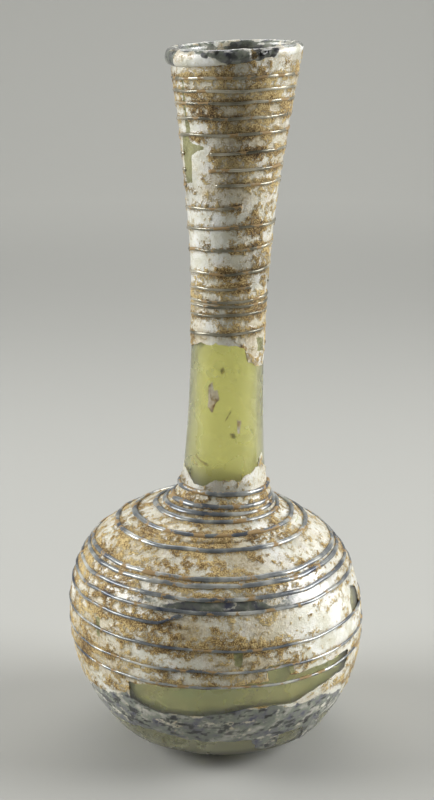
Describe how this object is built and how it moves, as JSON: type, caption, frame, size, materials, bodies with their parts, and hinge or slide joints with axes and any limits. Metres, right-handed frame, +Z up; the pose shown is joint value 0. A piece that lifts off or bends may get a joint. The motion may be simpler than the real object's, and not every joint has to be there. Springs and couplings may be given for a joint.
{
  "type": "glass unguentarium",
  "caption": "Ancient long-necked blown glass flask with a globular body, flared neck, rolled rim and wound glass trail, weathered silvery white and ochre.",
  "frame": {"origin": "in the plane of the flat underside, straight below the middle of the body's widest ring", "axes": "+Z up through the body and the neck; -Y is the side that the picture shows, +X is to its right"},
  "size_m": [0.0831, 0.083, 0.1915],
  "materials": {
    "weathered_glass": "yellow-green glass under a satin silvery-white crust with rough ochre soil, bare and clear on part of the neck and the lower body"
  },
  "bodies": {
    "root": {"flask": "weathered_glass"}
  },
  "joints": []
}
